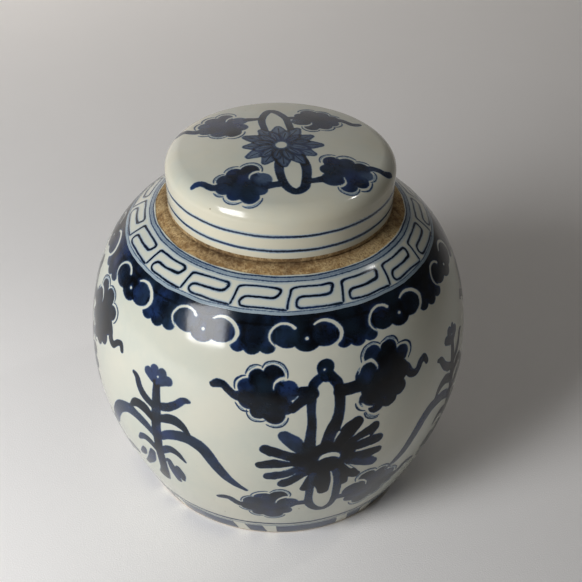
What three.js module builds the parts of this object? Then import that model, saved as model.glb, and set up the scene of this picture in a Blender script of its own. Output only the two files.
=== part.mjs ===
import * as THREE from 'three';

// A porcelain ginger jar: a thrown globular body with a short neck, and a cap lid that drops
// over the neck and rests on the unglazed ledge around it. Millimetres, +Z up. Z is the axis
// of revolution and the foot ring stands on z = 0.

const FACETS = 48; // around the axis
const LID_GAP = 0.3; // air between the lid's skirt and the ledge that it rests on

const body = {
  bellyRadius: 110,
  bellyHeight: 88.4, // height of the widest point
  footRadius: 83.2,
  footRise: 23.5, // pull of the foot's outline towards its tangent
  footLean: THREE.MathUtils.degToRad(25.9), // the wall's lean from upright where it meets the foot
  bellyPullDown: 30.7, // how far the belly stays upright below and above its widest point
  bellyPullUp: 43.4,
  shoulderPull: 30.5,
  glazeEdgeRadius: 69.3, // the glaze stops here and the bare ledge begins
  glazeEdgeHeight: 176.5,
  shoulderSlope: THREE.MathUtils.degToRad(25.6), // fall of the shoulder where it meets the ledge
  seatRadius: 64, // outer edge of the level seat
  wall: 4.6,
};

const foot = {
  ringWidth: 6.5,
  edge: 0.8, // bevel on both edges of the ring
  recess: 6.5, // depth of the underside at the ring
  centreRecess: 8,
};

const neck = {
  outerRadius: 54.5,
  wall: 5,
  rimHeight: 192.5,
  fillet: 1.5,
};

const inside = {
  floorHeight: 13.5,
  floorRadius: 62,
  floorPull: 34,
  shoulderPull: 34,
  throatHeight: 173, // where the shoulder's inner face meets the neck's bore
};

const lid = {
  skirtRadius: 62.3,
  shoulderRadius: 62.8,
  skirtHeight: 22.5,
  shoulderWidth: 26.7, // the rounded shoulder is a quarter ellipse
  shoulderHeight: 13,
  dome: 0.9, // rise of the top from the shoulder to the centre
  wall: 5.3,
  edge: 0.9, // rounding of the skirt's lower edges
};

const seatHeight = body.glazeEdgeHeight
  + (body.glazeEdgeRadius - body.seatRadius) * Math.tan(body.shoulderSlope);
const lidBase = seatHeight + LID_GAP;

const point = (radius, height) => new THREE.Vector2(radius, height);

function bezier(from, leaving, arriving, to, steps) {
  return new THREE.CubicBezierCurve(from, leaving, arriving, to).getPoints(steps);
}

// An arc of an ellipse, from one angle to another in degrees, 0 pointing outward and 90 up.
function arc(centre, across, up, fromDegrees, toDegrees, steps) {
  const points = [];
  for (let i = 0; i <= steps; i += 1) {
    const angle = THREE.MathUtils.degToRad(fromDegrees + ((toDegrees - fromDegrees) * i) / steps);
    points.push(point(centre.x + across * Math.cos(angle), centre.y + up * Math.sin(angle)));
  }
  return points;
}

// Turns a profile of (radius, height) points, which starts and ends on the axis, into a solid.
function turn(profile) {
  const geometry = new THREE.LatheGeometry(profile, FACETS);
  geometry.rotateX(Math.PI / 2);
  return geometry;
}

// The outside of the body from the foot up to the bare ledge.
function bodyOutside() {
  const atFoot = point(body.footRadius, foot.edge);
  const atBelly = point(body.bellyRadius, body.bellyHeight);
  const atLedge = point(body.glazeEdgeRadius, body.glazeEdgeHeight);
  const lower = bezier(
    atFoot,
    point(
      atFoot.x + body.footRise * Math.sin(body.footLean),
      atFoot.y + body.footRise * Math.cos(body.footLean),
    ),
    point(atBelly.x, atBelly.y - body.bellyPullDown),
    atBelly,
    9,
  );
  const upper = bezier(
    atBelly,
    point(atBelly.x, atBelly.y + body.bellyPullUp),
    point(
      atLedge.x + body.shoulderPull * Math.cos(body.shoulderSlope),
      atLedge.y - body.shoulderPull * Math.sin(body.shoulderSlope),
    ),
    atLedge,
    12,
  );
  return [...lower, ...upper.slice(1)];
}

// The hollow from the middle of its floor up to the neck's bore.
function bodyInside() {
  const innerBelly = point(body.bellyRadius - body.wall, body.bellyHeight);
  const floorEdge = point(inside.floorRadius, inside.floorHeight);
  const throat = point(neck.outerRadius - neck.wall, inside.throatHeight);
  const lower = bezier(
    floorEdge,
    point(floorEdge.x + inside.floorPull * 0.8, floorEdge.y + 1),
    point(innerBelly.x, innerBelly.y - body.bellyPullDown),
    innerBelly,
    8,
  );
  const upper = bezier(
    innerBelly,
    point(innerBelly.x, innerBelly.y + body.bellyPullUp),
    point(
      throat.x + inside.shoulderPull * Math.cos(body.shoulderSlope),
      throat.y - inside.shoulderPull * Math.sin(body.shoulderSlope),
    ),
    throat,
    10,
  );
  return [point(0, inside.floorHeight), ...lower, ...upper.slice(1)];
}

// The neck: up its bore, over the round rim, down to a fillet, and out along the level seat.
function neckOutline() {
  const rimRadius = neck.wall / 2;
  const rimCentre = point(neck.outerRadius - rimRadius, neck.rimHeight - rimRadius);
  const filletCentre = point(neck.outerRadius + neck.fillet, seatHeight + neck.fillet);
  return [
    ...arc(rimCentre, rimRadius, rimRadius, 180, 0, 6),
    ...arc(filletCentre, neck.fillet, neck.fillet, 180, 270, 2),
    point(body.seatRadius, seatHeight),
  ];
}

// The foot ring and the recessed underside, inwards to the axis.
function footOutline() {
  const inner = body.footRadius - foot.ringWidth;
  return [
    point(body.footRadius - foot.edge, 0),
    point(inner + foot.edge, 0),
    point(inner, foot.edge),
    point(inner - foot.edge, foot.recess),
    point(0, foot.centreRecess),
  ];
}

function jarBodyGeometry() {
  const hollow = [...bodyInside(), ...neckOutline()];
  return turn([...hollow, ...bodyOutside().reverse(), ...footOutline()].reverse());
}

function lidGeometry() {
  const shoulderBase = lidBase + lid.skirtHeight;
  const shoulderCentre = point(lid.shoulderRadius - lid.shoulderWidth, shoulderBase);
  const topHeight = shoulderBase + lid.shoulderHeight;
  const innerSkirt = lid.skirtRadius - lid.wall;
  const outerEdge = point(lid.skirtRadius - lid.edge, lidBase + lid.edge);
  const innerEdge = point(innerSkirt + lid.edge, lidBase + lid.edge);
  return turn([
    point(0, topHeight - lid.wall + lid.dome),
    ...arc(
      shoulderCentre,
      lid.shoulderWidth - lid.wall,
      lid.shoulderHeight - lid.wall,
      90,
      0,
      6,
    ),
    ...arc(innerEdge, lid.edge, lid.edge, 180, 270, 2),
    ...arc(outerEdge, lid.edge, lid.edge, -90, 0, 2),
    ...arc(shoulderCentre, lid.shoulderWidth, lid.shoulderHeight, 0, 90, 10),
    point(shoulderCentre.x / 2, topHeight + lid.dome * 0.75),
    point(0, topHeight + lid.dome),
  ]);
}

function mesh(name, geometry, colour, roughness) {
  const material = new THREE.MeshStandardMaterial({ color: colour, roughness, metalness: 0 });
  const result = new THREE.Mesh(geometry, material);
  result.name = name;
  return result;
}

const gingerJar = new THREE.Group();
gingerJar.add(mesh('jar_body', jarBodyGeometry(), '#a9aeb0', 0.15));
gingerJar.add(mesh('lid', lidGeometry(), '#d5d4c6', 0.15));

export default gingerJar;
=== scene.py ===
"""A porcelain ginger jar with its cap lid, painted in cobalt blue under a clear glaze.

The two CAD solids are replaced by finely turned porcelain meshes with a bare, unglazed ledge,
rim and foot. The brushwork lies on them as thin films. A film is drawn on a flat canvas in
millimetres, as washes, which are filled shapes, and lines, and is then laid on the turned
surface. Sizes are in millimetres until a mesh is made, and an azimuth of 0 faces the camera.
"""
import math

import bpy
import numpy as np
from mathutils import Euler, Matrix, Vector
from mathutils.geometry import delaunay_2d_cdt


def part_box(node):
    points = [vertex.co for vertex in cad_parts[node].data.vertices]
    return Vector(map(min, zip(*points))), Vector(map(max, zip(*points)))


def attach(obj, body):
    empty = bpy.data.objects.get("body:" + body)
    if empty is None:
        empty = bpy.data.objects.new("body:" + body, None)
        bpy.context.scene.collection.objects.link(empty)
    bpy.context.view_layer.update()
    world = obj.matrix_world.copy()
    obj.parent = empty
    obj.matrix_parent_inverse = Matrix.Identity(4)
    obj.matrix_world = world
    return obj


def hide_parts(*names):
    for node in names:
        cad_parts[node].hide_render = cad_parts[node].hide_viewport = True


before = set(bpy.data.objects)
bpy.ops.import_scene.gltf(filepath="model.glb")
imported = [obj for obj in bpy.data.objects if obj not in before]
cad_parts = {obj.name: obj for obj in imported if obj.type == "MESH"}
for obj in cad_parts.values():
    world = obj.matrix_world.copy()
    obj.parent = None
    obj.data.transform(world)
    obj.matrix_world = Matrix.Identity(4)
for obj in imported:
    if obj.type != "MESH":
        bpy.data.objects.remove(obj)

MM = 0.001
SEGMENTS = 240  # around the porcelain
GRAIN = 0.5  # grid step of a painted canvas
FAR = 50.0  # a distance that no painted shape reaches
UNDER, LIFT, OVER = 0.03, 0.05, 0.06  # how far films lie off the glaze, so that they can overlap
BLEED = 0.3  # how far ink creeps past the brush under the glaze
DEEPEST = 2.5  # depths in from a painted edge are kept up to this
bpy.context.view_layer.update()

# ---- outlines of the porcelain

BELLY_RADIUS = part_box("jar_body")[1][0] / MM
RIM_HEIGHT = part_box("jar_body")[1][2] / MM
LID_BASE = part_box("lid")[0][2] / MM
LID_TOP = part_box("lid")[1][2] / MM
LID_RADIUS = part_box("lid")[1][0] / MM

# A pull is how far a curve's handle reaches.
BELLY_HEIGHT = 88.4
WALL = 4.6
FOOT_RADIUS, FOOT_EDGE, FOOT_RING, FOOT_RECESS, FOOT_CENTRE = 83.2, 0.8, 6.5, 6.5, 8.0
FOOT_PULL, FOOT_LEAN = 23.5, math.radians(25.9)
BELLY_PULL_DOWN, BELLY_PULL_UP, SHOULDER_PULL = 30.7, 43.4, 30.5
GLAZE_EDGE_RADIUS, GLAZE_EDGE_HEIGHT = 69.3, 176.5
SHOULDER_SLOPE = math.radians(25.6)
DOWN_SLOPE = np.array([math.cos(SHOULDER_SLOPE), -math.sin(SHOULDER_SLOPE)])  # a step of 1 mm down it
SEAT_RADIUS = 64.0
SEAT_HEIGHT = GLAZE_EDGE_HEIGHT + (GLAZE_EDGE_RADIUS - SEAT_RADIUS) * math.tan(SHOULDER_SLOPE)
GLAZE_THICKNESS = 0.3
NECK_RADIUS, NECK_WALL, NECK_FILLET = 54.5, 5.0, 1.5
FLOOR_HEIGHT, FLOOR_RADIUS, FLOOR_PULL = 13.5, 62.0, np.array([27.2, 1.0])
THROAT_HEIGHT, THROAT_PULL = 173.0, 34.0
SKIRT_RADIUS, SKIRT_HEIGHT, SKIRT_EDGE = 62.3, 22.5, 0.9
LID_SHOULDER_WIDTH, LID_SHOULDER_HEIGHT, LID_WALL = 10.6, 9.0, 4.6
LID_SHOULDER_CENTRE = (LID_RADIUS - LID_SHOULDER_WIDTH, LID_BASE + SKIRT_HEIGHT)
LID_CROWN_MEETS = 78.8  # where the crown runs into the shoulder, in degrees round that centre


def bezier(start, leaving, arriving, end, steps):
    t = np.linspace(0, 1, steps + 1)[:, None]
    weights = ((1 - t) ** 3, 3 * (1 - t) ** 2 * t, 3 * (1 - t) * t**2, t**3)
    return sum(w * np.array(p, float) for w, p in zip(weights, (start, leaving, arriving, end)))


def arc(centre, across, up, start, end, steps):
    """Part of an ellipse, by angles in degrees, 0 outward and 90 up."""
    t = np.radians(np.linspace(start, end, steps + 1))
    return np.stack([centre[0] + across * np.cos(t), centre[1] + up * np.sin(t)], -1)


def straight(start, end, steps):
    return np.linspace(start, end, steps + 1)


def join(*parts):
    """One outline from parts that meet end to end."""
    points = [parts[0]]
    for part in parts[1:]:
        gap = np.linalg.norm(part[0] - points[-1][-1])
        points.append(part[1:] if gap < 1e-6 else part)
    return np.concatenate(points)


def body_outside():
    foot = np.array([FOOT_RADIUS, FOOT_EDGE])
    belly = np.array([BELLY_RADIUS, BELLY_HEIGHT])
    ledge = np.array([GLAZE_EDGE_RADIUS, GLAZE_EDGE_HEIGHT])
    from_foot = foot + FOOT_PULL * np.array([math.sin(FOOT_LEAN), math.cos(FOOT_LEAN)])
    return join(
        bezier(foot, from_foot, belly - (0, BELLY_PULL_DOWN), belly, 64),
        bezier(belly, belly + (0, BELLY_PULL_UP), ledge + SHOULDER_PULL * DOWN_SLOPE, ledge, 84),
    )


def body_inside():
    belly = np.array([BELLY_RADIUS - WALL, BELLY_HEIGHT])
    floor = np.array([FLOOR_RADIUS, FLOOR_HEIGHT])
    throat = np.array([NECK_RADIUS - NECK_WALL, THROAT_HEIGHT])
    return join(
        straight((0, FLOOR_HEIGHT), floor, 12),
        bezier(floor, floor + FLOOR_PULL, belly - (0, BELLY_PULL_DOWN), belly, 24),
        bezier(belly, belly + (0, BELLY_PULL_UP), throat + THROAT_PULL * DOWN_SLOPE, throat, 28),
    )


def lid_outside():
    """From the middle of the low crown out over the shoulder and down the skirt."""
    widths = (LID_SHOULDER_WIDTH, LID_SHOULDER_HEIGHT)
    shoulder = arc(LID_SHOULDER_CENTRE, *widths, LID_CROWN_MEETS, 0, 60)
    radius = np.linspace(0, shoulder[0, 0], 50)
    fall = LID_TOP - shoulder[0, 1]
    return join(
        np.stack([radius, LID_TOP - fall * (radius / radius[-1]) ** 2], -1),
        shoulder,
        straight((LID_RADIUS, shoulder[-1, 1]), (SKIRT_RADIUS, LID_BASE + SKIRT_EDGE), 24),
    )


class Turned:
    """The surface that an outline makes about Z. along is measured on the outline."""

    def __init__(self, outline, outward):
        steps = np.linalg.norm(np.diff(outline, axis=0), axis=1)
        self.along = np.concatenate([[0], np.cumsum(steps)])
        self.radius, self.height = outline.T
        slope = np.gradient(outline, self.along, axis=0)
        slope /= np.linalg.norm(slope, axis=1)[:, None]
        self.out, self.up = outward * slope[:, 1], -outward * slope[:, 0]

    def read(self, values, along):
        return np.interp(along, self.along, values)

    def place(self, along, azimuth, lift):
        """Points in metres, lift millimetres off the surface, and the surface's normals."""
        radius, height = self.read(self.radius, along), self.read(self.height, along)
        out, up = self.read(self.out, along), self.read(self.up, along)
        side, front = np.sin(azimuth), -np.cos(azimuth)
        normals = np.stack([out * side, out * front, up], -1)
        points = np.stack([radius * side, radius * front, height], -1)
        return (points + np.reshape(lift, (-1, 1)) * normals) * MM, normals


BODY_SKIN = Turned(body_outside(), 1)
LID_SKIN = Turned(lid_outside(), -1)
LEDGE_ALONG = BODY_SKIN.along[-1]


def waver(points, size, seed):
    """A smooth random value from about -1 to 1 at each point in metres, size millimetres across."""
    rng = np.random.default_rng(seed)
    waves, swing = 7, 1.3  # swing brings the mean of the waves to about -1 to 1
    total = np.zeros(len(points))
    for _ in range(waves):
        direction = rng.normal(size=3)
        direction *= 2 * math.pi * rng.uniform(0.6, 1.5) / (size * MM) / np.linalg.norm(direction)
        total += np.sin(points @ direction + rng.uniform(0, 2 * math.pi))
    return total * swing / waves


# ---- materials


class Nodes:
    """Short calls for building a node tree."""

    def __init__(self, name):
        self.material = bpy.data.materials.new(name)
        self.material.use_nodes = True
        self.tree = self.material.node_tree
        self.shader = self.tree.nodes["Principled BSDF"]
        self.where = self.add("TexCoord").outputs["Object"]

    def add(self, kind, inputs=None, **settings):
        """A new node, with its settings and then its inputs, which go by name or number."""
        node = self.tree.nodes.new("ShaderNode" + kind)
        for name, value in settings.items():
            setattr(node, name, value)
        for name, value in (inputs or {}).items():
            self.feed(node.inputs[name], value)
        return node

    def feed(self, socket, value):
        if isinstance(value, bpy.types.NodeSocket):
            self.tree.links.new(value, socket)
        else:
            socket.default_value = value

    def maths(self, operation, *values, clamp=False):
        values = dict(enumerate(values))
        return self.add("Math", values, operation=operation, use_clamp=clamp).outputs[0]

    def product(self, first, *others):
        for other in others:
            first = self.maths("MULTIPLY", first, other)
        return first

    def noise(self, size, detail=2.0, roughness=0.5, distortion=0.0, vector=None):
        """Noise from 0 to 1 whose features are about size millimetres across."""
        inputs = {"Vector": vector or self.where, "Scale": 1 / (size * MM), "Detail": detail}
        inputs |= {"Roughness": roughness, "Distortion": distortion}
        return self.add("TexNoise", inputs).outputs["Fac"]

    def spread(self, value, low, high, to_low=0.0, to_high=1.0):
        """value from low..high, moved to to_low..to_high and kept there."""
        inputs = {"Value": value, "From Min": low, "From Max": high}
        inputs |= {"To Min": to_low, "To Max": to_high}
        return self.add("MapRange", inputs).outputs["Result"]

    def mix(self, factor, first, second):
        inputs = {"Factor": factor, 6: first, 7: second}
        return self.add("Mix", inputs, data_type="RGBA").outputs[2]

    def ramp(self, value, stops):
        node = self.add("ValToRGB", {"Fac": value})
        elements = node.color_ramp.elements
        while len(elements) < len(stops):
            elements.new(0.5)
        for element, (place, colour) in zip(elements, stops):
            element.position = place
            element.color = (*colour, 1)
        return node.outputs["Color"]

    def bump(self, height, depth, normal=None):
        """A bump whose full height is depth millimetres."""
        inputs = {"Height": height, "Distance": depth * MM, "Strength": 1.0}
        if normal is not None:
            inputs["Normal"] = normal
        return self.add("Bump", inputs).outputs["Normal"]

    def finish(self, inputs):
        """Feeds the shader's inputs, given by name, and returns the material."""
        for name, value in inputs.items():
            self.feed(self.shader.inputs[name], value)
        return self.material


def rgb(red, green, blue):
    return (red, green, blue, 1)


def glaze_surface(nodes):
    """The clear gloss that lies over bare white and over painting alike, as shader inputs."""
    swell = nodes.noise(16, detail=1.0)
    peel = nodes.noise(1.6)
    smear = nodes.noise(9, detail=3.0)
    normal = nodes.bump(peel, 0.014, normal=nodes.bump(swell, 0.15))
    return {"Normal": normal, "Roughness": nodes.spread(smear, 0.35, 0.7, 0.09, 0.17), "IOR": 1.5}


def specks(nodes, size, share):
    """Small round spots, in about one cell out of share."""
    cells = nodes.add("TexVoronoi", {"Vector": nodes.where, "Scale": 1 / (size * MM)})
    chosen = nodes.add("SeparateColor", {"Color": cells.outputs["Color"]}).outputs["Red"]
    near = nodes.spread(cells.outputs["Distance"], 0.045, 0.075, 1.0, 0.0)
    return nodes.product(near, nodes.maths("LESS_THAN", chosen, 1 / share))


def porcelain_material(name, yellow_height):
    """The white glaze. It has yellowed below a height in millimetres, and in patches above it."""
    nodes = Nodes(name)
    tint = nodes.noise(55)
    cloud = nodes.noise(7, detail=4.0, roughness=0.6)
    base = nodes.mix(nodes.spread(tint, 0.35, 0.65), rgb(0.57, 0.56, 0.47), rgb(0.50, 0.52, 0.45))
    base = nodes.mix(nodes.spread(cloud, 0.45, 0.75, 0.0, 0.35), base, rgb(0.60, 0.58, 0.475))
    height = nodes.add("SeparateXYZ", {"Vector": nodes.where}).outputs["Z"]
    wander, fade = 24 * MM, 12 * MM
    uneven = nodes.maths("MULTIPLY_ADD", nodes.noise(18, detail=3.0), -wander, height)
    low = yellow_height * MM
    warm = nodes.spread(uneven, low, low + fade, 0.5, 0.0)
    base = nodes.mix(warm, base, rgb(0.60, 0.53, 0.37))
    base = nodes.mix(specks(nodes, 7.0, 14), base, rgb(0.16, 0.11, 0.07))
    return nodes.finish({"Base Color": base, **glaze_surface(nodes)})


COBALT = (
    (0.00, (0.50, 0.535, 0.505)),
    (0.20, (0.28, 0.345, 0.385)),
    (0.40, (0.084, 0.126, 0.190)),
    (0.55, (0.033, 0.057, 0.105)),
    (0.70, (0.0125, 0.026, 0.058)),
    (0.85, (0.0036, 0.0075, 0.016)),
    (1.00, (0.0014, 0.0020, 0.0035)),
)


def cobalt_material():
    """Cobalt brushwork. ink says how heavily it's loaded, and depth is millimetres from its edge."""
    nodes = Nodes("cobalt_under_glaze")
    ink = nodes.add("Attribute", attribute_name="ink").outputs["Fac"]
    depth = nodes.add("Attribute", attribute_name="depth").outputs["Fac"]
    flow = nodes.spread(nodes.noise(8, detail=1.5), 0.3, 0.7, 0.92, 1.08)
    heap = nodes.spread(nodes.noise(1.3), 0.52, 0.75, 1.0, 1.09)
    watery = nodes.spread(depth, 0.5, 2.2, 0.90, 1.02)
    creep = nodes.spread(nodes.noise(0.9, detail=1.0), 0.3, 0.7, -0.14, 0.14)
    settled = nodes.spread(nodes.maths("ADD", depth, creep), 0.0, 0.62, 0.25, 1.0)
    total = nodes.product(ink, flow, heap, watery, settled)
    colour = nodes.ramp(total, COBALT)
    loaded, dark = nodes.spread(ink, 0.6, 0.9), nodes.spread(total, 0.45, 0.62)
    not_black = nodes.spread(total, 0.80, 0.93, 1.0, 0.0)
    tints = (  # size and detail of the patches, their noise's range, strength, colour, limits
        (14, 3.0, 0.56, 0.72, 0.45, rgb(0.012, 0.011, 0.010), [loaded]),
        (13, 1.0, 0.47, 0.70, 0.52, rgb(0.012, 0.032, 0.12), [dark, not_black]),
        (18, 1.0, 0.50, 0.72, 0.50, rgb(0.010, 0.022, 0.036), [dark]),
    )
    for size, detail, low, high, strength, tint, limits in tints:
        patches = nodes.spread(nodes.noise(size, detail), low, high, 0.0, strength)
        colour = nodes.mix(nodes.product(patches, *limits), colour, tint)
    glaze = glaze_surface(nodes)
    return nodes.finish({"Base Color": colour, "Specular IOR Level": 0.30, **glaze})


BISCUIT_BROWNS = (
    (0.30, (0.13, 0.068, 0.025)),
    (0.43, (0.30, 0.180, 0.070)),
    (0.55, (0.44, 0.295, 0.130)),
    (0.70, (0.57, 0.420, 0.215)),
)


def biscuit_material():
    """Bare fired clay, wiped round on the wheel, browned and stained where it shows, with painted shade
    by the lid.
    """
    nodes = Nodes("bare_biscuit")
    flat = nodes.add("VectorMath", {0: nodes.where, 1: (1, 1, 0)}, operation="MULTIPLY").outputs[0]
    radius = nodes.add("VectorMath", {0: flat}, operation="LENGTH").outputs["Value"]
    heading = nodes.add("VectorMath", {0: flat}, operation="NORMALIZE").outputs[0]
    turned = nodes.add("VectorMath", {0: heading, "Scale": 0.011}, operation="SCALE").outputs[0]
    up = nodes.add("CombineXYZ", {"Z": radius}).outputs[0]
    track = nodes.add("VectorMath", {0: turned, 1: up}, operation="ADD").outputs[0]
    wiped = nodes.noise(0.9, detail=3.0, roughness=0.65, vector=track)
    grain = nodes.noise(1.1, detail=3.0, roughness=0.75)
    coarse = nodes.noise(2.6, roughness=0.6)
    stain = nodes.noise(22, detail=4.0, roughness=0.6, distortion=0.4)
    patchy = nodes.spread(stain, 0.36, 0.64, 0.10, 0.58)
    colour = nodes.ramp(nodes.maths("MULTIPLY_ADD", wiped, 0.32, patchy), BISCUIT_BROWNS)
    colour = nodes.mix(nodes.spread(coarse, 0.42, 0.62, 0.0, 0.4), colour, rgb(0.62, 0.48, 0.26))
    pits = nodes.spread(grain, 0.38, 0.54, 0.75, 0.0)
    colour = nodes.mix(pits, colour, rgb(0.15, 0.080, 0.032))
    worn = nodes.spread(nodes.noise(60, detail=1.0), 0.4, 0.6, 0.2, -0.5)
    # painted shade: the bare ledge is coloured darker towards the lid's skirt, standing in for the shade
    # under the lid
    lid_skirt_shade = nodes.spread(radius, 0.0628, 0.0690, 0.9, 0.0)
    # the painted shade plus random dark stains, broken up by the coarse grain, darkens the clay
    shade_and_stain = nodes.maths("ADD", lid_skirt_shade, worn)
    shade_and_stain = nodes.maths("MULTIPLY", shade_and_stain, nodes.spread(coarse, 0.62, 0.40, 0.5, 1.0), clamp=True)
    colour = nodes.mix(shade_and_stain, colour, rgb(0.10, 0.058, 0.027))
    rough = nodes.bump(grain, 0.35, normal=nodes.bump(coarse, 0.3))
    return nodes.finish({
        "Base Color": colour,
        "Roughness": nodes.spread(grain, 0.3, 0.7, 0.78, 0.95),
        "Normal": nodes.bump(wiped, 0.2, normal=rough),
        "Specular IOR Level": 0.25,
    })


def floor_material():
    nodes = Nodes("pale_floor")
    shade = nodes.noise(180, detail=3.0)
    weave = nodes.noise(0.8)
    return nodes.finish({
        "Base Color": nodes.mix(shade, rgb(0.88, 0.86, 0.84), rgb(0.92, 0.90, 0.88)),
        "Normal": nodes.bump(weave, 0.15),
        "Roughness": 0.9,
        "Specular IOR Level": 0.2,
    })


GLAZE = porcelain_material("ivory_glaze", -22)
LID_GLAZE = porcelain_material("yellowed_ivory_glaze", LID_TOP - 26)
COBALT_FILM = cobalt_material()
BISCUIT = biscuit_material()

# ---- porcelain


def mesh_object(name, vertices, faces, materials):
    mesh = bpy.data.meshes.new(name)
    mesh.from_pydata([tuple(v) for v in vertices], [], faces)
    for material in materials:
        mesh.materials.append(material)
    mesh.polygons.foreach_set("use_smooth", [True] * len(mesh.polygons))
    piece = bpy.data.objects.new(name, mesh)
    bpy.context.scene.collection.objects.link(piece)
    return piece


def turn(name, glaze, outline, bare, ripple):
    """A closed turned solid. The outline starts and ends on the axis and goes up its outside.

    bare holds 1 for each outline step that the glaze leaves uncovered. Where ripple is 1, an
    outline point moves up or down the shoulder's slope, which makes the glaze's edge uneven.
    """
    azimuths = np.arange(SEGMENTS) * 2 * math.pi / SEGMENTS
    rings = outline[1:-1]
    side, front = np.sin(azimuths), -np.cos(azimuths)
    radius, height = rings[:, :1], rings[:, 1:]
    edge = np.stack([side, front, np.zeros(SEGMENTS)], -1) * GLAZE_EDGE_RADIUS * MM
    wander = 0.35 * waver(edge, 26, 3) + 0.16 * waver(edge, 7, 4)
    radius = radius + ripple[1:-1, None] * wander * DOWN_SLOPE[0]
    height = height + ripple[1:-1, None] * wander * DOWN_SLOPE[1]
    grid = np.stack([radius * side, radius * front, height], -1).reshape(-1, 3)
    ends = np.array([[0, 0, outline[0, 1]], [0, 0, outline[-1, 1]]])
    first, last, top = len(grid), len(grid) + 1, len(grid) - SEGMENTS
    faces = []
    for i in range(SEGMENTS):
        j = (i + 1) % SEGMENTS
        faces.append((first, j, i))
        for low in range(0, top, SEGMENTS):
            high = low + SEGMENTS
            faces.append((low + i, low + j, high + j, high + i))
        faces.append((top + i, top + j, last))
    piece = mesh_object(name, np.concatenate([grid, ends]) * MM, faces, [glaze, BISCUIT])
    slots = np.tile(bare, SEGMENTS).astype(np.int32)
    piece.data.polygons.foreach_set("material_index", slots)
    return piece


def glaze_roll():
    """The outline where the glaze stops in a small roll above the bare ledge."""
    lift = np.array([math.sin(SHOULDER_SLOPE), math.cos(SHOULDER_SLOPE)])
    edge = np.array([GLAZE_EDGE_RADIUS, GLAZE_EDGE_HEIGHT])
    drops = ((0.10, 0.0), (0.24, 0.10), (0.30, GLAZE_THICKNESS))
    return np.array([edge - back * DOWN_SLOPE - down * lift for back, down in drops])


def make_body():
    outside = body_outside()
    roll = glaze_roll()
    ledge = straight(roll[-1], (SEAT_RADIUS + 0.6, SEAT_HEIGHT - 0.5), 10)
    ledge = join(ledge, straight(ledge[-1], (SEAT_RADIUS - 1.5, SEAT_HEIGHT - 0.05), 4))
    fillet = (NECK_RADIUS + NECK_FILLET, SEAT_HEIGHT + NECK_FILLET)
    rim = NECK_WALL / 2
    seat = straight(ledge[-1], (fillet[0], SEAT_HEIGHT), 6)
    neck = join(
        arc(fillet, NECK_FILLET, NECK_FILLET, 270, 180, 5),
        straight((NECK_RADIUS, fillet[1]), (NECK_RADIUS, RIM_HEIGHT - rim), 8),
        arc((NECK_RADIUS - rim, RIM_HEIGHT - rim), rim, rim, 0, 180, 12),
    )
    inside = body_inside()[::-1]
    ring = FOOT_RADIUS - FOOT_RING
    foot = np.array([
        (0, FOOT_CENTRE), (ring * 0.5, FOOT_CENTRE - 0.4),
        (ring - 3, FOOT_RECESS + 0.2), (ring - FOOT_EDGE, FOOT_RECESS - 0.8),
        (ring, FOOT_EDGE), (ring + 0.3 * FOOT_EDGE, 0.3 * FOOT_EDGE), (ring + FOOT_EDGE, 0),
        (FOOT_RADIUS - FOOT_EDGE, 0), (FOOT_RADIUS - 0.3 * FOOT_EDGE, 0.3 * FOOT_EDGE),
    ])
    outline = join(foot, outside, roll, ledge, seat, neck, inside)
    bare = np.zeros(len(outline) - 1, int)
    glazed_recess = 3  # steps from the axis
    bare[glazed_recess:len(foot)] = 1
    ledge_from = len(foot) + len(outside) + len(roll) - 2
    to_rim = ledge_from + len(ledge) + len(seat) + len(neck) - 3
    bare[ledge_from:to_rim] = 1
    ripple = np.zeros(len(outline))
    ripple[len(foot) + len(outside) - 4:ledge_from + 3] = 1  # a few points each side of the edge
    body = turn("porcelain_jar", GLAZE, outline, bare, ripple)
    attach(body, "jar")
    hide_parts("jar_body")


def make_lid():
    inner, low = SKIRT_RADIUS - LID_WALL, LID_BASE + SKIRT_EDGE
    across, up = LID_SHOULDER_WIDTH - LID_WALL, LID_SHOULDER_HEIGHT - LID_WALL
    corner = arc(LID_SHOULDER_CENTRE, across, up, LID_CROWN_MEETS, 0, 16)
    hollow = join(
        straight((0, LID_TOP - LID_WALL), corner[0], 8),
        corner,
        straight((inner, corner[-1, 1] - 1), (inner, low), 8),
    )
    edge = join(
        arc((inner + SKIRT_EDGE, low), SKIRT_EDGE, SKIRT_EDGE, 180, 270, 4),
        arc((SKIRT_RADIUS - SKIRT_EDGE, low), SKIRT_EDGE, SKIRT_EDGE, 270, 360, 6),
    )
    outline = join(hollow, edge, lid_outside()[::-1])
    bare = np.zeros(len(outline) - 1, int)
    bare[len(hollow) - 1:len(hollow) + len(edge)] = 1
    lid = turn("porcelain_lid", LID_GLAZE, outline, bare, np.zeros(len(outline)))
    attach(lid, "cap")
    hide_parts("lid")


# ---- brushwork on a flat canvas


def smooth(points, step):
    """An even curve through listed points."""
    points = np.array(points, float)
    if len(points) == 2:
        points = np.array([points[0], points.mean(0), points[1]])
    padded = np.concatenate([[2 * points[0] - points[1]], points, [2 * points[-1] - points[-2]]])
    pieces = []
    for a, b, c, d in zip(padded, padded[1:], padded[2:], padded[3:]):
        count = max(2, int(np.linalg.norm(c[:2] - b[:2]) / step) + 1)
        t = np.linspace(0, 1, count, endpoint=False)[:, None]
        bend = 2 * b + (c - a) * t
        bend = bend + (2 * a - 5 * b + 4 * c - d) * t**2
        bend = bend + (3 * b - a - 3 * c + d) * t**3
        pieces.append(0.5 * bend)
    return np.concatenate([*pieces, [points[-1]]])


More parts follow.
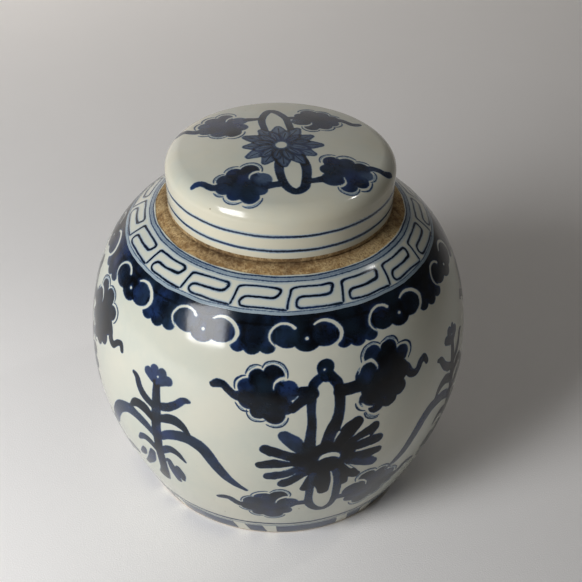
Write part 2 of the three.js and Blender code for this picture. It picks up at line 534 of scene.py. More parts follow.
class Wash:
    """Filled brushwork, as a distance on a grid: below zero is painted."""

    def __init__(self, low, high):
        columns = np.arange(low[0], high[0] + GRAIN / 2, GRAIN)
        rows = np.arange(low[1], high[1] + GRAIN / 2, GRAIN)
        self.low = np.array(low, float)
        self.x, self.y = np.meshgrid(columns, rows)
        self.edge = np.full(self.x.shape, FAR)
        self.ink = np.zeros(self.x.shape)

    def lay(self, distance, ink, soft=1.2, rim=0.12):
        """Paints a shape over what is there. Its own edge stays a little darker, as wet ink dries."""
        first = (distance < self.edge) & (self.edge > BLEED)
        cover = np.where(first, 1, np.clip(-distance / soft, 0, 1))
        self.ink = self.ink + (ink - self.ink) * cover
        self.ink = self.ink + rim * np.exp(-((distance + 0.3) / 0.55) ** 2)
        self.edge = np.minimum(self.edge, distance)

    def reserve(self, distance):
        """Leaves the white showing."""
        self.edge = np.maximum(self.edge, -distance)

    def disc(self, centre, radius):
        return np.hypot(self.x - centre[0], self.y - centre[1]) - radius

    def oval(self, centre, across, up):
        x, y = (self.x - centre[0]) / across, (self.y - centre[1]) / up
        return (np.hypot(x, y) - 1) * min(across, up)

    def stroke(self, points, widths):
        """One pull of the brush along a curve, with its full width at each point."""
        path = smooth(np.column_stack([points, np.array(widths) / 2]), 2 * GRAIN)
        distance = np.full(self.x.shape, FAR)
        reach = path[:, 2].max() + 3
        low = ((path[:, :2].min(0) - reach - self.low) / GRAIN).astype(int).clip(0)
        high = ((path[:, :2].max(0) + reach - self.low) / GRAIN).astype(int) + 1
        window = (slice(low[1], high[1]), slice(low[0], high[0]))
        x, y = self.x[window], self.y[window]
        near = distance[window]
        for (ax, ay, aw), (bx, by, bw) in zip(path, path[1:]):
            run = max((bx - ax) ** 2 + (by - ay) ** 2, 1e-9)
            t = np.clip(((x - ax) * (bx - ax) + (y - ay) * (by - ay)) / run, 0, 1)
            gap = np.hypot(x - ax - t * (bx - ax), y - ay - t * (by - ay))
            np.minimum(near, gap - aw - t * (bw - aw), out=near)
        return distance

    def brush(self, points, widths, ink, **drying):
        """Lays a stroke."""
        self.lay(self.stroke(points, widths), ink, **drying)

    def fill(self):
        """Triangles over the painted part, exact along its edges: (points, faces, ink, depth)."""
        edge = self.edge - BLEED
        inside = edge < 0
        across, upward = inside[:, 1:] != inside[:, :-1], inside[1:] != inside[:-1]
        across_id = np.where(across, np.cumsum(across).reshape(across.shape) - 1, -1)
        upward_id = np.where(upward, np.cumsum(upward).reshape(upward.shape) - 1 + across.sum(), -1)
        t = edge[:, :-1][across] / (edge[:, :-1] - edge[:, 1:])[across]
        on_rows = np.stack([self.x[:, :-1][across] + t * GRAIN, self.y[:, :-1][across]], -1)
        t = edge[:-1][upward] / (edge[:-1] - edge[1:])[upward]
        on_columns = np.stack([self.x[:-1][upward], self.y[:-1][upward] + t * GRAIN], -1)
        sides = np.stack([across_id[:-1], upward_id[:, :-1], across_id[1:], upward_id[:, 1:]], -1)
        sides = sides.reshape(-1, 4)
        crossed = (sides >= 0).sum(1)
        pairs = np.sort(sides[crossed == 2], axis=1)[:, 2:]
        doubled = sides[crossed == 4]
        pairs = np.concatenate([pairs, doubled[:, :2], doubled[:, 2:]])
        deep = np.zeros(edge.shape, bool)
        deep[::2, ::2] = edge[::2, ::2] < -0.6 * GRAIN
        for border in (np.s_[:, 0], np.s_[:, -1], np.s_[0], np.s_[-1]):
            deep[border] = edge[border] < -0.1 * GRAIN
        points = np.concatenate([on_rows, on_columns, np.stack([self.x[deep], self.y[deep]], -1)])
        made = delaunay_2d_cdt([Vector(p) for p in points], pairs.tolist(), [], 0, 1e-5)
        points = np.array([tuple(v) for v in made[0]])
        faces = np.array(made[2])
        faces = faces[self.read(edge, points[faces].mean(1)) < 0]
        used, faces = np.unique(faces, return_inverse=True)
        faces = faces.reshape(-1, 3)
        points = points[used]
        depth = np.clip(-self.read(edge, points), 0, DEEPEST)
        return points, faces.tolist(), self.read(self.ink, points), depth

    def read(self, values, points):
        """A grid's value at each point, between its four neighbours."""
        column, row = ((points - self.low) / GRAIN).T
        c = np.clip(column.astype(int), 0, values.shape[1] - 2)
        r = np.clip(row.astype(int), 0, values.shape[0] - 2)
        u, v = column - c, row - r
        low = values[r, c] * (1 - u) + values[r, c + 1] * u
        high = values[r + 1, c] * (1 - u) + values[r + 1, c + 1] * u
        return low * (1 - v) + high * v


def line(points, widths, ink, across=2, step=0.7, taper=True, pool=0.06):
    """A drawn line as a strip of quads: (points, faces, ink, depth). Each end narrows."""
    loads = [np.broadcast_to(load, len(points)) for load in (np.divide(widths, 2), ink)]
    path = smooth(np.column_stack([points, *loads]), step)
    way = np.gradient(path[:, :2], axis=0)
    way /= np.linalg.norm(way, axis=1)[:, None]
    run = np.concatenate([[0], np.cumsum(np.linalg.norm(np.diff(path[:, :2], axis=0), axis=1))])
    half = path[:, 2] + 0.7 * BLEED
    if taper:
        from_end = np.minimum(run, run[-1] - run) / np.maximum(2 * half, 0.1)
        half *= np.sqrt(np.clip(1 - (1 - np.clip(from_end, 0.04, 1)) ** 2, 0, 1))
    offsets = np.linspace(-1, 1, across + 1)
    left = np.stack([-way[:, 1], way[:, 0]], -1)
    flat = path[:, None, :2] + offsets[None, :, None] * half[:, None, None] * left[:, None]
    count = across + 1
    faces = [
        (i * count + k, (i + 1) * count + k, (i + 1) * count + k + 1, i * count + k + 1)
        for i in range(len(path) - 1)
        for k in range(across)
    ]
    pooled = path[:, 3:4] + pool * np.abs(offsets)
    depth = np.clip(half[:, None] * (1 - np.abs(offsets)), 0, DEEPEST)
    return flat.reshape(-1, 2), faces, pooled.ravel(), depth.ravel()


ON_JAR = (BODY_SKIN, "jar", "painted_porcelain")
ON_LID = (LID_SKIN, "cap", "lid_porcelain")


class Film:
    """Painted shapes gathered into one thin sheet that lies on a turned surface."""

    def __init__(self, name, skin, body, slot):
        self.name, self.skin, self.body, self.slot = name, skin, body, slot
        self.points, self.faces, self.size = [], [], 0

    def keep(self, along, azimuth, lift, ink, depth, faces):
        """Adds points on the surface, and faces that count from the first of them."""
        self.points.append(np.stack(np.broadcast_arrays(along, azimuth, lift, ink, depth)))
        self.faces += [tuple(self.size + v for v in face) for face in faces]
        self.size += len(along)

    def add(self, shape, where, lift=LIFT):
        """Lays a flat shape at where(x, y), which gives along and azimuth."""
        points, faces, ink, depth = shape
        self.keep(*where(points[:, 0], points[:, 1]), lift, ink, depth, faces)

    def ring(self, low, high, ink, lift=LIFT, uneven=0.08):
        """A turned line right round, between two places along the outline."""
        count = 3 * SEGMENTS
        azimuth = np.arange(count) * 2 * math.pi / count
        middle = self.skin.place(np.full(count, (low + high) / 2), azimuth, 0)[0]
        seed = len(self.faces)  # so that no two rings waver alike
        drift = uneven * waver(middle, 60, seed + 11)
        swell = 1 + 2.0 * uneven * waver(middle, 22, seed + 12)
        load = ink + 0.10 * waver(middle, 45, seed + 13)
        half = (high - low) / 2 * swell + 0.5 * BLEED
        offsets = np.array([-1, 0, 1])[:, None]
        along = (low + high) / 2 + drift + offsets * half
        depth = (1 - np.abs(offsets)) * half
        turns = 1 if self.skin.up[0] < 0.5 else -1
        steps = [(i, (i + 1) % count) for i in range(count)]
        faces = [
            (row + i, row + j, row + count + j, row + count + i)[::turns]
            for row in (0, count)
            for i, j in steps
        ]
        self.keep(along.ravel(), np.tile(azimuth, 3), lift, np.tile(load, 3), depth.ravel(), faces)

    def finish(self, sway):
        """Makes the mesh. sway moves the brush by up to that many millimetres, as a hand does."""
        along, azimuth, lift, ink, depth = np.concatenate(self.points, axis=1)
        points, _ = self.skin.place(along, azimuth, 0)
        radius = np.maximum(self.skin.read(self.skin.radius, along), 4)
        along = along + sway * waver(points, 21, 5) + 0.35 * sway * waver(points, 6, 6)
        azimuth = azimuth + sway * waver(points, 23, 7) / radius
        along = np.clip(along, 0, self.skin.along[-1])
        points, normals = self.skin.place(along, azimuth, lift)
        film = mesh_object(self.name, points, self.faces, [COBALT_FILM])
        film.data.normals_split_custom_set_from_vertices([tuple(n) for n in normals])
        for name, values in (("ink", ink), ("depth", depth)):
            film.data.attributes.new(name, "FLOAT", "POINT").data.foreach_set("value", values)
        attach(film, self.body)


def on_jar(azimuth, along, left=1.0, right=1.0, radius=None):
    """A canvas whose origin lies at along and azimuth. left and right squeeze its two halves.

    x is true to size everywhere or, on a band, where the jar has that radius.
    """

    def where(x, y):
        x = x * np.where(x < 0, left, right)
        around = radius or BODY_SKIN.read(BODY_SKIN.radius, along + y)
        return along + y, math.radians(azimuth) + x / around

    return where


def on_lid(x, y):
    """A canvas centred on the lid's top, with y away from the camera."""
    return np.hypot(x, y), np.arctan2(x, -y)


def paint(film, motif, places, sway):
    """Lays a motif, which is a filled shape and the lines over it, at each place."""
    fill, lines = motif
    for where in places:
        film.add(fill, where)
        for shape in lines:
            film.add(shape, where, OVER)
    film.finish(sway)


# ---- borders

BAND_RADIUS = 80.0
FRET_UNITS, FRET_AZIMUTH = 18, 3.0
FRET = [
    (0.9, -17.9), (1.7, -14.0), (2.7, -9.4), (3.5, -7.3), (6.0, -6.5), (12, -6.2), (20, -6.1),
    (24.2, -6.4), (25.6, -7.4), (25.1, -9.2), (23.6, -11.1), (21.0, -11.7), (15, -11.8),
    (8.6, -11.9), (6.4, -12.8), (5.4, -14.8), (5.9, -16.7), (8.0, -17.4), (14, -17.3),
    (21, -17.5), (27.2, -17.9), (28.8, -17.9),
]
FRET_WIDTHS = [
    0.9, 0.8, 0.9, 1.1, 0.8, 0.7, 0.75, 1.0, 1.2, 1.1, 1.1, 1.1, 0.85, 0.9, 1.0, 0.9, 0.8, 0.8,
    0.7, 0.7, 0.9, 0.9,
]


def paint_fret():
    """The running key pattern below the ledge, between turned lines and pale washes."""
    film = Film("paint_fret_border", *ON_JAR)
    rings = (
        (3.2, 0.9, 0.30, UNDER, 0.12), (1.35, 0.45, 0.84, LIFT, 0.08), (3.7, 2.8, 0.72, LIFT, 0.08),
        (4.9, 3.6, 0.12, UNDER, 0.20), (19.6, 18.9, 0.66, LIFT, 0.08), (21.3, 19.3, 0.26, UNDER, 0.12),
    )
    for low, high, ink, lift, uneven in rings:
        film.ring(LEDGE_ALONG - low, LEDGE_ALONG - high, ink, lift, uneven)
    rng = np.random.default_rng(21)
    for unit in range(FRET_UNITS):
        azimuth = FRET_AZIMUTH + unit * 360 / FRET_UNITS
        where = on_jar(azimuth, LEDGE_ALONG, radius=BAND_RADIUS)
        points = np.array(FRET) + rng.normal(0, 0.13, (len(FRET), 2))
        points[[0, -1]] = FRET[0], FRET[-1]
        ink = np.clip(1.08 + rng.normal(0, 0.05) + rng.normal(0, 0.06, len(FRET)), 0.9, 1.2)
        points -= (0, 0.45)
        widths = np.array(FRET_WIDTHS) * rng.uniform(1.12, 1.38)
        bleed = line(points, widths + 1.5, 0.16, taper=False, pool=-0.06)
        film.add(bleed, where, UNDER + 0.001 * (unit % 2))
        film.add(line(points, widths, ink), where, OVER)
    film.finish(0.3)


CLOUD_UNITS, CLOUD_AZIMUTH = 11, 9.2
CLOUD_WIDTH = 2 * math.pi * BAND_RADIUS / CLOUD_UNITS
BAND_TOP = -21.2


def cloud_unit():
    """One lobed cloud head and half of the pendant on each side of it."""
    half = CLOUD_WIDTH / 2
    width = GRAIN * round(CLOUD_WIDTH / GRAIN)
    wash = Wash((-half, -44), (-half + width, BAND_TOP))
    wash.lay(np.maximum(wash.y - BAND_TOP - 3, -28.5 - wash.y), 0.93)
    for side in (-1, 1):
        x = side * half
        pendant = np.maximum(np.abs(wash.x - x) - 9.3, -36.6 - wash.y)
        wash.lay(np.maximum(pendant, wash.y + 26), 0.91)
        wash.lay(wash.disc((x, -37.9), 3.5), 0.92, rim=0.05)
        wash.lay(wash.disc((x - side * 6.4, -37.2), 3.3), 0.86, rim=0.05)
    wash.lay(np.maximum(np.abs(wash.x) - 7, np.abs(wash.y + 30) - 5), 0.92)
    wash.lay(wash.disc((0.2, -34.0), 5.7), 0.93)
    wash.lay(wash.disc((-8.1, -31.1), 6.4), 0.88, soft=3)
    wash.lay(wash.disc((8.2, -31.2), 6.6), 0.85, soft=3)
    left = [
        (-4.6, -27.6), (-6.4, -25.8), (-9.8, -25.0), (-13.3, -26.6), (-15.6, -30.2),
        (-15.4, -33.8), (-13.0, -37.0),
    ]
    right = [
        (3.9, -26.6), (6.2, -25.2), (9.6, -24.9), (13.4, -26.9), (15.7, -31.0), (14.9, -35.0),
        (12.2, -38.2),
    ]
    wash.reserve(wash.stroke(left, [1.9, 1.7, 1.7, 1.6, 1.4, 1.2, 0.9]))
    wash.reserve(wash.stroke(right, [1.3, 1.7, 2.0, 2.2, 2.3, 1.9, 1.3]))
    wash.reserve(wash.disc((0.4, -33.1), 1.0))
    points, faces, ink, depth = wash.fill()
    points[:, 0] = (points[:, 0] + half) * (CLOUD_WIDTH / width) - half
    return points, faces, ink, depth


def paint_cloud_collar():
    film = Film("paint_cloud_collar", *ON_JAR)
    points, faces, ink, depth = cloud_unit()
    for k in range(CLOUD_UNITS):
        azimuth = CLOUD_AZIMUTH + k * 360 / CLOUD_UNITS
        around = math.radians(azimuth) + points[:, 0] / BAND_RADIUS
        ring = np.stack([np.sin(around), -np.cos(around), 0 * around], -1) * BAND_RADIUS * MM
        fading = np.clip(waver(ring, 52, 31), 0, 1)
        streaks = waver(ring, 4, 32) * (0.03 + 0.10 * fading)
        where = on_jar(azimuth, LEDGE_ALONG, radius=BAND_RADIUS)
        film.add((points, faces, ink - 0.20 * fading + streaks, depth), where)
    film.finish(0.3)


def paint_foot_band():
    """Two turned lines and a row of long and short blocks just above the foot."""
    film = Film("paint_foot_band", *ON_JAR)
    film.ring(15.4, 17.4, 0.74, uneven=0.12)
    film.ring(12.6, 13.4, 0.50, uneven=0.12)
    units, height = 9, 10.6
    for k in range(units):
        where = on_jar(1 + k * (360 / units), 6.1)
        for start, length in ((0, 36), (43, 10)):
            middle = [(start, 0), (start + length * 0.5, 0.1), (start + length, 0)]
            film.add(line(middle, height, 0.56, across=8, step=2.0, taper=False), where)
    film.finish(0.5)


# ---- cloud-edged leaves

# Each is drawn with its stem at -x and its tail at +x. A lobe is x, y, radius and ink. A halo,
# the fine line outside a lobe, is x, y, radius and its first and last angle.
ROUND_LEAF = {
    "core": (-2.0, -0.5, 10.5, 11.0),
    "lobes": [
        (-6.2, 11.4, 5.0, 0.93), (2.0, 9.0, 5.2, 0.92), (7.6, 3.8, 4.9, 0.80), (8.2, -3.4, 4.7, 0.88),
        (2.0, -9.0, 5.0, 0.92), (-5.6, -11.8, 5.2, 0.94), (-11.2, -6.4, 4.6, 0.84),
        (-12.4, 2.8, 5.8, 0.76),
    ],
    "crescents": [[(-5.2, 3.0), (-6.3, 7.4), (-9.6, 9.9), (-14.2, 10.2)]],
    "halos": [
        (-6.5, 12.0, 6.5, 24, 200), (1.8, 9.2, 6.9, 8, 112), (8.0, 3.8, 6.3, -20, 92),
        (8.4, -3.2, 6.3, -98, -18), (2.0, -9.3, 6.9, -122, 0), (-5.6, -12.4, 7.0, -178, -44),
    ],
    "tail": [(9, -0.8), (14, -1.6), (17.5, 0.6), (20.5, 3.2), (23.5, 3.3), (26.2, 2.3)],
    "tail_widths": [6.2, 5.0, 4.2, 4.2, 4.2, 3.0],
}
BROAD_LEAF = {
    "core": (1.0, -2.5, 14.0, 14.5),
    "lobes": [
        (-5.0, 12.2, 4.9, 0.82), (5.2, 11.9, 5.4, 0.93), (13.6, 7.0, 4.6, 0.86), (12.0, -2.0, 5.8, 0.94),
        (10.8, -11.0, 5.0, 0.92), (3.8, -15.2, 5.4, 0.94), (-3.6, -17.0, 4.6, 0.90),
        (-9.4, -10.8, 4.8, 0.92), (-9.4, 2.8, 6.2, 0.84),
    ],
    "crescents": [
        [(-13.4, 5.0), (-11.2, 9.0), (-6.4, 9.8), (-3.0, 6.6), (-2.6, 4.4)],
        [(-12.4, -12.4), (-10.0, -15.6), (-6.0, -16.5)],
    ],
    "halos": [
        (-5.0, 12.2, 6.7, 36, 200), (5.2, 11.9, 6.9, 12, 136), (13.8, 7.0, 6.2, -50, 112),
        (-3.4, -17.6, 6.3, -170, -70), (-3.4, -17.6, 7.4, -176, -80), (-9.4, -11.2, 6.8, 176, 262),
    ],
    "tail": [
        (12, 0.4), (16.6, -2.2), (20.2, -7.0), (24.2, -7.8), (27.4, -4.4), (30.4, -3.6), (32.6, -6.8),
    ],
    "tail_widths": [7.0, 5.4, 4.6, 4.0, 3.8, 3.6, 2.6],
}


def placing(centre, turn=0.0, mirror=False, flip=False, scale=1.0):
    """A function that moves points from a leaf's own canvas to the motif's."""
    c, s = math.cos(math.radians(turn)), math.sin(math.radians(turn))

    def move(points):
        points = np.array(points, float) * scale * [-1 if mirror else 1, -1 if flip else 1]
        x, y = points[..., 0], points[..., 1]
        return np.stack([x * c - y * s, x * s + y * c], -1) + centre

    return move


def paint_leaf(wash, lines, leaf, move, scale=1.0, seed=0, faint=0.0):
    """Adds a leaf's fill to the wash and its fine outline to lines."""
    rng = np.random.default_rng(seed)
    x, y, across, up = leaf["core"]
    wash.lay(wash.oval(move((x, y)), across * scale, up * scale), 0.93 - faint)
    wash.brush(move(leaf["tail"]), np.array(leaf["tail_widths"]) * scale, 0.88 - faint)
    for x, y, radius, ink in leaf["lobes"]:
        radius = radius * scale * rng.uniform(0.94, 1.05)
        load = ink - faint * rng.uniform(0.3, 1.4)
        wash.lay(wash.disc(move((x, y)), radius), load, soft=3.2, rim=0.05)
    for crescent in leaf["crescents"]:
        widths = np.full(len(crescent), 1.4)
        widths[[0, -1]] = 0.9
        widths[len(crescent) // 2] = 2.0
        wash.reserve(wash.stroke(move(crescent), widths * scale))
    for x, y, radius, first, last in leaf["halos"]:
        radius = radius + rng.normal(0, 0.15)
        bow = arc((x, y), radius, radius, first + rng.normal(0, 4), last + rng.normal(0, 4), 7)
        widths = [0.5, 0.7, 0.85, 0.95, 0.9, 0.8, 0.6, 0.5]
        lines.append(line(move(bow), widths, 0.90 - faint))
        if rng.random() < 0.6:
            inner = arc((x, y), radius - 0.75, radius - 0.75, first + 25, last - 25, 5)
            lines.append(line(move(inner), [0.3, 0.5, 0.6, 0.6, 0.5, 0.3], 0.42))


# ---- flower sprays on the belly

PETALS = [  # base, tip and greatest width, and how heavily each is inked
    ((-13, 0), (-22.5, 11.5), 7.6, 0.66), ((-14, -4), (-33, 2.2), 7.2, 0.84),
    ((-13, -8), (-35.5, -9.6), 6.2, 0.84), ((-11, -12), (-30.5, -18.6), 7.0, 0.72),
    ((-9, -15), (-22.5, -25.6), 7.8, 0.76), ((-6, -17), (-10.5, -31.5), 6.0, 0.80),
    ((0, -16), (0.2, -36), 8.0, 0.92), ((7, -18), (11.5, -31.5), 5.4, 0.84),
    ((10, -15), (17.8, -27), 6.6, 0.88), ((12, -12), (27.5, -19.5), 7.0, 0.68),
    ((14, -8.5), (30.2, -10.8), 6.2, 0.84), ((14, -3), (30.0, -1.6), 7.2, 0.80),
    ((12, 1), (26.8, 7.2), 7.8, 0.86), ((6, 2), (16.5, 14.2), 8.4, 0.92),
]


def spray_motif():
    """The flower, its looped stalks and its four leaves, on a canvas in millimetres."""
    wash, lines = Wash((-66, -72), (68, 60)), []
    left = [(-2, 45.4), (-6.6, 41), (-8.4, 34), (-8.8, 27), (-8.3, 19), (-9.2, 11), (-10, 2)]
    right = [(2.6, 45.2), (5.8, 40), (6.8, 33), (6.6, 26), (5.2, 19), (2.6, 12), (0.6, 3)]
    wash.brush(left, [5, 5, 5, 4.4, 4.6, 5.4, 7], 0.86)
    wash.brush(right, [5, 5.2, 5.4, 5.4, 6.4, 8.2, 9], 0.90)
    wash.lay(wash.disc((0.1, 50.0), 4.3), 0.94)
    wash.lay(wash.disc((0.2, 44.6), 2.4), 0.92)
    wash.brush([(-7.5, 36.5), (-12.5, 38.2), (-17, 37.6)], [6.5, 4.4, 4], 0.9)
    wash.brush([(-9, 35.5), (-14, 32.4), (-18.5, 27.6)], [6.5, 5.2, 3.6], 0.9)
    wash.brush([(7, 36), (12, 36), (18, 36.5)], [7, 6.8, 7], 0.94)
    for seed, (base, tip, width, ink) in enumerate(PETALS):
        base, tip = np.array(base, float), np.array(tip, float)
        bend = np.array([tip[1] - base[1], base[0] - tip[0]]) * 0.05 * (-1) ** seed
        middle = base + 0.55 * (tip - base) + bend
        shape = wash.stroke([base, middle, tip], [0.6 * width, 1.06 * width, 0.84 * width])
        wash.lay(shape, ink + 0.05, soft=2.4, rim=0.14)
    wash.lay(wash.oval((-1, -7), 17, 11), 0.97, soft=4)
    wash.lay(wash.oval((0, -3), 10, 8), 0.99, soft=4)
    loop = [
        (-6.5, -18), (-7.6, -28), (-7.6, -39), (-6.2, -49), (-2.4, -57), (2.4, -59.6), (6.6, -55.4),
        (8.4, -47), (8.4, -37), (7.6, -27), (6.2, -18),
    ]
    wash.brush(loop, [5, 4.4, 4.2, 4.4, 4.2, 4, 4.2, 4.4, 4.6, 4.8, 5], 0.72)
    wash.reserve(np.maximum(wash.oval((1.6, -6.6), 6.4, 4.2), -wash.oval((1.0, -9.8), 6.6, 4.0)))
    wash.reserve(wash.disc((-0.4, 49.0), 0.8))
    slits = (
        [(-30, -3.4), (-24, -5.2), (-18.5, -6.8)], [(-31, -14.2), (-25, -13.6), (-19.5, -12.6)],
        [(-26, -21.6), (-20.5, -19.4), (-15.5, -16.4)], [(25, -5.6), (20, -5.8), (15.5, -5.8)],
        [(24, 2.6), (20.5, 2.0), (16.5, 0.6)], [(15, -19.4), (12.6, -16.4), (10.4, -13.0)],
        [(6.4, 10.2), (4.8, 7.4), (3.8, 4.4)],
    )
    for slit in slits:
        wash.reserve(wash.stroke(slit, [1.7, 1.2, 0.5]))
    wash.brush([(-8, -47.6), (-13, -48), (-18, -49.5)], [5, 4.6, 5], 0.72)
    wash.brush([(8.5, -47.6), (13.5, -48.6), (19, -48.5)], [5, 5, 6], 0.72)
    paint_leaf(wash, lines, ROUND_LEAF, placing((-33, 36), mirror=True), seed=41)
    paint_leaf(wash, lines, BROAD_LEAF, placing((31, 38)), seed=42)
    paint_leaf(wash, lines, ROUND_LEAF, placing((-30.5, -50), mirror=True), 1.02, 43, 0.14)
    paint_leaf(wash, lines, ROUND_LEAF, placing((33, -47), scale=1.12), 1.12, 44, 0.12)
    return wash.fill(), lines


SPRAY_ALONG = BODY_SKIN.along[np.argmax(BODY_SKIN.radius)] + 3.6
TIGHT = 0.85  # where the painter ran short of room, at the back
SPRAYS = ((14.6, 1, 1), (-85.2, TIGHT, 1), (106.0, TIGHT, TIGHT), (190.4, TIGHT, TIGHT))
ORCHIDS = ((-35.4, 1, 1), (64.0, 1, TIGHT), (148.2, TIGHT, TIGHT), (232.6, TIGHT, TIGHT))


def round_belly(places):
    return [on_jar(azimuth, SPRAY_ALONG, *squeeze) for azimuth, *squeeze in places]


# ---- orchid plants between them


def orchid_motif():
    """A budding orchid: a stalk, pairs of short leaves and two long arching ones."""
    wash = Wash((-60, -60), (60, 46))
    long_widths = [4, 6.2, 7.2, 7.6, 7.4, 6.2, 2.4]
    right = [(1, -9), (10, -3), (20, -0.8), (29, -4.6), (35.5, -14), (41.5, -25), (50, -34)]
    left = [(1, -12), (-10, -4), (-21, -2.2), (-31, -7), (-38, -17), (-44, -28), (-51, -35)]
    stalk = [(0.4, 27), (0.2, 12), (-0.2, -6), (-0.6, -24), (-1.6, -40), (-4.4, -49)]
    strokes = (  # points, widths, ink, and how softly the stroke blends into what is under it
        (right, long_widths, 0.73, 3),
        (left, long_widths, 0.68, 3),
        ([(1, 4), (9, 8.2), (16, 7.2), (22, 2.0)], [4, 6.4, 5.6, 1.4], 0.88, 2),
        ([(-1, 1), (-8, 6.4), (-15, 6.6), (-20.5, 1.4)], [4, 6.2, 5.4, 1.4], 0.90, 2),
        ([(0, 13), (7, 15.4), (12.5, 19), (17, 23.6), (20.5, 24.2)], [4, 5.0, 4.6, 3.6, 1.8], 0.78, 2),
        ([(0, 11), (-6, 13.4), (-11.5, 18), (-14.5, 23.4), (-17.5, 25)], [4, 5, 4.6, 3.8, 2], 0.88, 2),
        ([(1, -21), (7, -15.6), (12.5, -16), (17, -21)], [3.4, 5.2, 4.6, 1.4], 0.76, 2),
        ([(-1, -24), (-7, -18), (-12.5, -17.6), (-16.5, -22)], [3.4, 5.2, 4.6, 1.4], 0.74, 2),
        (stalk, [4.6, 5.8, 6.2, 6.0, 6.4, 7.6], 0.84, 1.2),
        ([(5.0, -27), (6.6, -35), (7.4, -46)], [3.8, 5.4, 3.0], 0.72, 1.2),
        ([(10.6, -30), (11.8, -36), (11.0, -43)], [3.0, 4.4, 2.4], 0.72, 1.2),
        ([(-7.0, -27), (-10.4, -36), (-18, -47)], [3.8, 5.6, 3.0], 0.72, 1.2),
        ([(-14.4, -30), (-17.0, -35), (-20.4, -39)], [3.0, 4.2, 2.0], 0.72, 1.2),
    )
    for points, widths, ink, soft in strokes:
        wash.brush(points, widths, ink, soft=soft)
    for lean in (-58, -20, 20, 58):
        reach = math.radians(lean)
        tip = (0.4 + 8.2 * math.sin(reach), 27.5 + 7.4 * math.cos(reach))
        wash.brush([(0.4, 27), tip], [4.2, 5.4], 0.72, soft=2)
    wash.reserve(wash.disc((0.6, 31.0), 0.8))
    return wash.fill(), []


# ---- painting on the lid


def lid_motif():
    """A many-petalled flower, two looped stalks and four leaves on the lid's top."""
    wash, lines = Wash((-64, -62), (64, 52)), []
    back = [
        (-9, 12), (-11, 22), (-10.8, 31), (-8.6, 38), (-6, 39.6), (-2.6, 37.2), (1.8, 29), (4, 20),
        (5.4, 12),
    ]
    wash.brush(back, [3.8, 3.8, 4, 4.4, 4.4, 4.2, 4, 4, 3.8], 0.70)
    front = [
        (1, -14), (-0.4, -24), (0.6, -34), (3.8, -42.2), (8.6, -45.8), (12.8, -42), (14, -33),
        (13.4, -24), (11, -15),
    ]
    wash.brush(front, [5, 4.8, 4.4, 4.4, 4.6, 4.8, 4.8, 5, 5], 0.76)
    heart = np.array((0.2, -4.2))
    rows = ((12, 18.4, 9.0, 0.45, 0.10), (12, 12.0, 6.4, 0.47, 0.36))
    for count, reach, width, ink, start in rows:
        for k in range(count):
            angle = 2 * math.pi * k / count + start
            way = np.array((math.cos(angle), math.sin(angle)))
            long = reach * (1 + 0.06 * math.sin(5 * angle + 1))
            body = [heart + 5 * way, heart + 0.68 * long * way, heart + (long + 1.6) * way]
            shape = wash.stroke(body, [3.0, width, 4.2])
            wash.lay(shape, ink + 0.04 * math.sin(3 * angle), soft=1.6, rim=0.36)
            vein = [heart + 6 * way, heart + (long + 1) * way]
            points, faces, load, depth = line(vein, [0.1, 0.3], 0.74)
            lines.append((points, faces, load, depth + DEEPEST))
    wash.lay(wash.oval(heart, 6, 6), 0.56, soft=2)
    wash.reserve(wash.oval(heart, 3.0, 3.4))
    wash.brush([(0, -40.2), (-4, -41.2), (-7, -42)], [4.4, 4.4, 5.4], 0.76)
    wash.brush([(14, -36.6), (18, -36), (22, -34.4)], [4.4, 4, 5], 0.78)
    wash.brush([(-11, 28), (-15, 27.4), (-19, 27)], [4, 3.6, 5], 0.74)
    wash.brush([(3.4, 29.4), (6, 30), (9, 30)], [3.6, 3.4, 4.4], 0.74)
    leaves = (
        ((-20.5, -40), 3, {"mirror": True}, 0.93, 0.17),
        ((36.5, -26.5), 24, {"flip": True}, 0.93, 0.18),
        ((-34.5, 20), 16, {"mirror": True}, 0.93, 0.19),
        ((21, 29), 6, {"flip": True}, 0.86, 0.20),
    )
    for seed, (centre, turned, side, scale, faint) in enumerate(leaves, 51):
        move = placing(centre, turned, scale=scale, **side)
        paint_leaf(wash, lines, ROUND_LEAF, move, scale, seed, faint)
    return wash.fill(), lines


def paint_lid_lines():
    film = Film("paint_lid_lines", *ON_LID)
    base = LID_SKIN.along[-1]
    for height in (15.2, 6.5):
        film.ring(base - height - 0.7, base - height + 0.7, 0.90)
        film.ring(base - height - 1.2, base - height + 1.2, 0.16, UNDER)
    film.finish(0.2)


# ---- stage, lights and camera


def make_stage():
    """A pale floor that curves up behind into a wall."""
    half_width, front, reach, bend, top = 3.2, -2.2, 1.3, 0.5, 2.4
    outline = join(
        straight((front, 0), (reach, 0), 1),
        arc((reach, bend), bend, bend, -90, 0, 12),
        straight((reach + bend, bend), (reach + bend, top), 1),
    )
    columns = 8
    across = np.linspace(-half_width, half_width, columns + 1)
    vertices = [(x, y, z) for y, z in outline for x in across]
    faces = []
    for row in range(len(outline) - 1):
        for c in range(columns):
            i = row * (columns + 1) + c
            faces.append((i, i + 1, i + columns + 2, i + columns + 1))
    floor = mesh_object("floor", vertices, faces, [floor_material()])


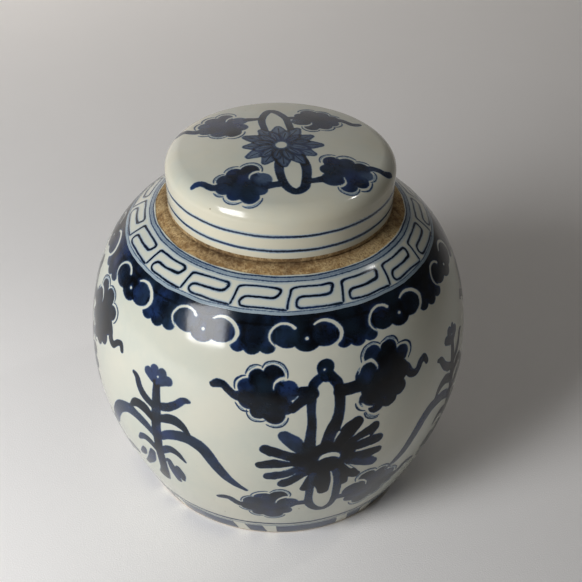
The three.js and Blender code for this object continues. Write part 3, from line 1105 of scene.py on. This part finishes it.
def area_light(name, place, target, size, power, colour):
    data = bpy.data.lights.new(name, "AREA")
    data.shape = "RECTANGLE"
    data.size, data.size_y = size
    data.energy = power
    data.color = colour
    light = bpy.data.objects.new(name, data)
    light.location = place
    light.rotation_euler = (Vector(target) - Vector(place)).to_track_quat("-Z", "Y").to_euler()
    bpy.context.scene.collection.objects.link(light)


def make_lights():
    """One tall soft window to the left and in front, in a dim pale room."""
    collar, distance = Vector((-0.045, -0.09, 0.15)), 0.75
    window = collar + distance * Vector((-0.673, -0.564, 0.479)).normalized()
    lights = (  # name, place, target, size, power and colour
        ("window", window, (-0.45, 0.35, 0.05), (0.40, 0.44), 8.1, (0.97, 0.98, 1.0)),
        ("backdrop", (-1.0, 0.75, 1.0), (-1.0, 1.62, 0.5), (1.0, 0.4), 13, (1.0, 0.96, 0.92)),
        ("lamp", (0.79, 0.20, 1.15), (0, 0, 0.12), (0.05, 0.05), 0.7, (1.0, 0.98, 0.95)),
    )
    for light in lights:
        area_light(*light)
    world = bpy.data.worlds.new("soft_room")
    world.use_nodes = True
    background = world.node_tree.nodes["Background"]
    background.inputs["Color"].default_value = (1.0, 0.98, 0.94, 1)
    background.inputs["Strength"].default_value = 0.06
    bpy.context.scene.world = world


def make_camera():
    """The photograph's view: from in front and above, turned by about a degree."""
    data = bpy.data.cameras.new("camera")
    data.sensor_width = 36
    data.lens = 68.06
    elevation, roll, distance = math.radians(36.23), math.radians(1.204), 0.6482
    target = Vector((0.00706, 0, 0.1163))
    camera = bpy.data.objects.new("camera", data)
    back = Vector((0, -math.cos(elevation), math.sin(elevation)))
    turned = Euler((math.pi / 2 - elevation, 0, 0)).to_matrix() @ Matrix.Rotation(roll, 3, "Z")
    camera.matrix_world = Matrix.Translation(target + distance * back) @ turned.to_4x4()
    bpy.context.scene.collection.objects.link(camera)
    bpy.context.scene.camera = camera


make_body()
make_lid()
paint_fret()
paint_cloud_collar()
paint_foot_band()
paint(Film("paint_flower_sprays", *ON_JAR), spray_motif(), round_belly(SPRAYS), 0.7)
paint(Film("paint_orchids", *ON_JAR), orchid_motif(), round_belly(ORCHIDS), 0.6)
paint(Film("paint_lid_spray", *ON_LID), lid_motif(), [on_lid], 0.4)
paint_lid_lines()
make_stage()
make_lights()
make_camera()
bpy.context.scene.view_settings.view_transform = "Standard"
